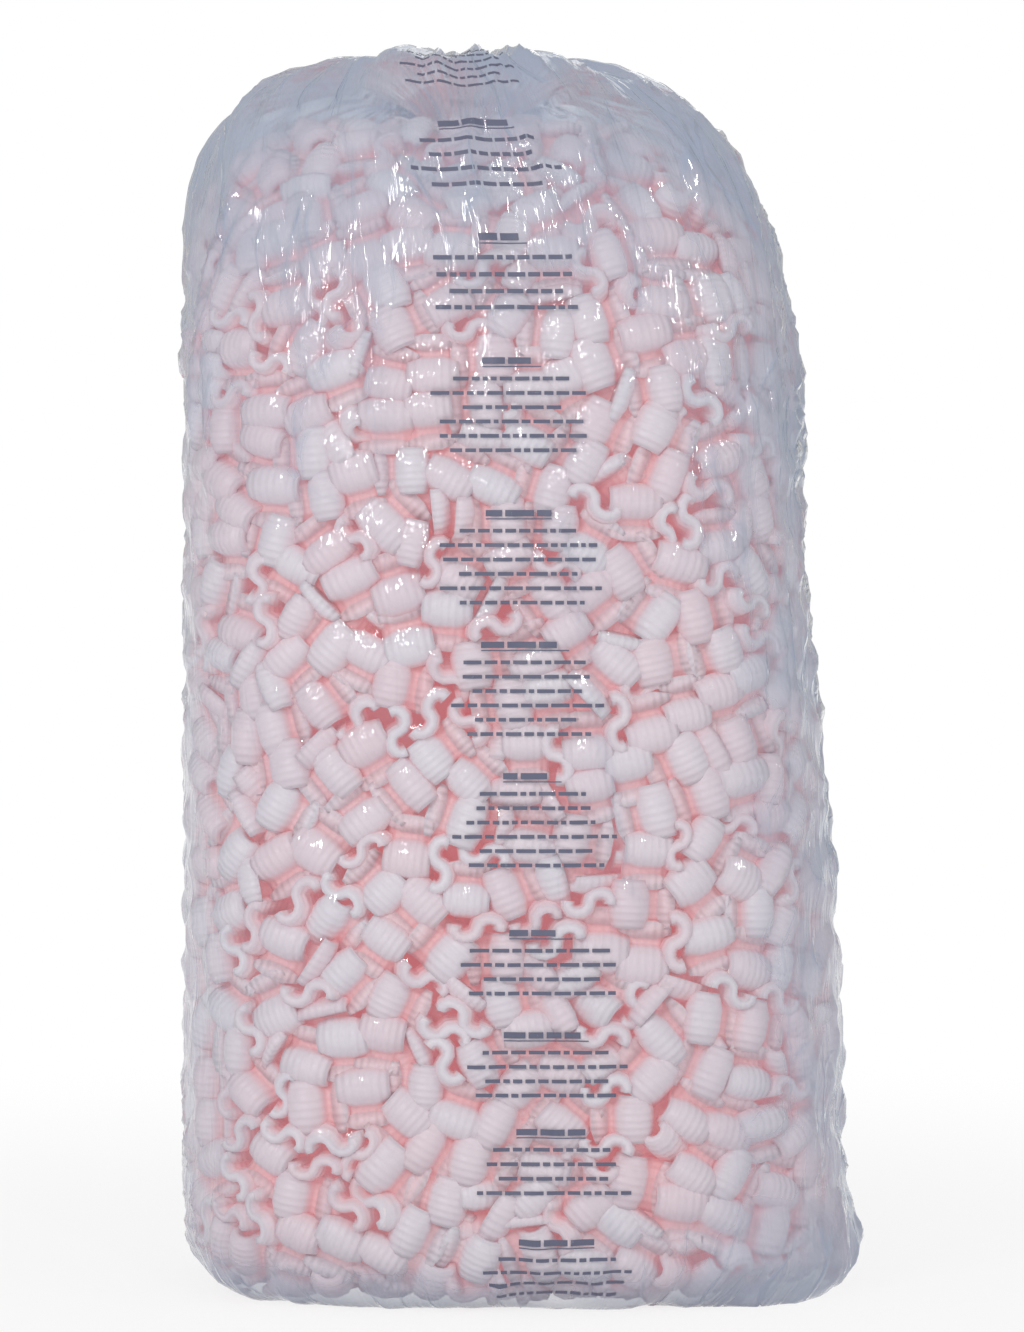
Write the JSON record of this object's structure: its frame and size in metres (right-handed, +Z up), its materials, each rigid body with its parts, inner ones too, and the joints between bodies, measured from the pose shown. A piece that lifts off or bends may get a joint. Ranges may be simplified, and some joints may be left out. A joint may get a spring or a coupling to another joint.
{
  "type": "bag of packing peanuts",
  "caption": "Clear film bag packed full of S-shaped pink foam packing peanuts, gathered and banded at the neck; loose fill for cushioning parcels.",
  "frame": {"origin": "middle of the flat base, on the surface that the bag stands on", "axes": "+Z up the standing bag, +X to the right of its front, the front faces -Y"},
  "size_m": [0.44, 0.34, 0.815],
  "materials": {
    "clear_film": "clear, slightly hazy polyethylene film, creased, gloss highlights",
    "foam_peanut": "pale pink expanded polystyrene, finely ribbed, satin skin",
    "closure_band": "plain white closure band"
  },
  "bodies": {
    "root": {"film_bag": "clear_film", "neck_band": "closure_band", "packed_peanuts": "foam_peanut", "loose_peanut_01": "foam_peanut", "loose_peanut_02": "foam_peanut", "loose_peanut_03": "foam_peanut", "loose_peanut_04": "foam_peanut", "loose_peanut_05": "foam_peanut", "loose_peanut_06": "foam_peanut", "loose_peanut_07": "foam_peanut", "loose_peanut_08": "foam_peanut", "loose_peanut_09": "foam_peanut", "loose_peanut_10": "foam_peanut", "loose_peanut_11": "foam_peanut", "loose_peanut_12": "foam_peanut", "loose_peanut_13": "foam_peanut", "loose_peanut_14": "foam_peanut", "loose_peanut_15": "foam_peanut", "loose_peanut_16": "foam_peanut", "loose_peanut_17": "foam_peanut", "loose_peanut_18": "foam_peanut", "loose_peanut_19": "foam_peanut", "loose_peanut_20": "foam_peanut", "loose_peanut_21": "foam_peanut", "loose_peanut_22": "foam_peanut", "loose_peanut_23": "foam_peanut", "loose_peanut_24": "foam_peanut", "loose_peanut_25": "foam_peanut", "loose_peanut_26": "foam_peanut", "loose_peanut_27": "foam_peanut", "loose_peanut_28": "foam_peanut", "loose_peanut_29": "foam_peanut", "loose_peanut_30": "foam_peanut"}
  },
  "joints": []
}
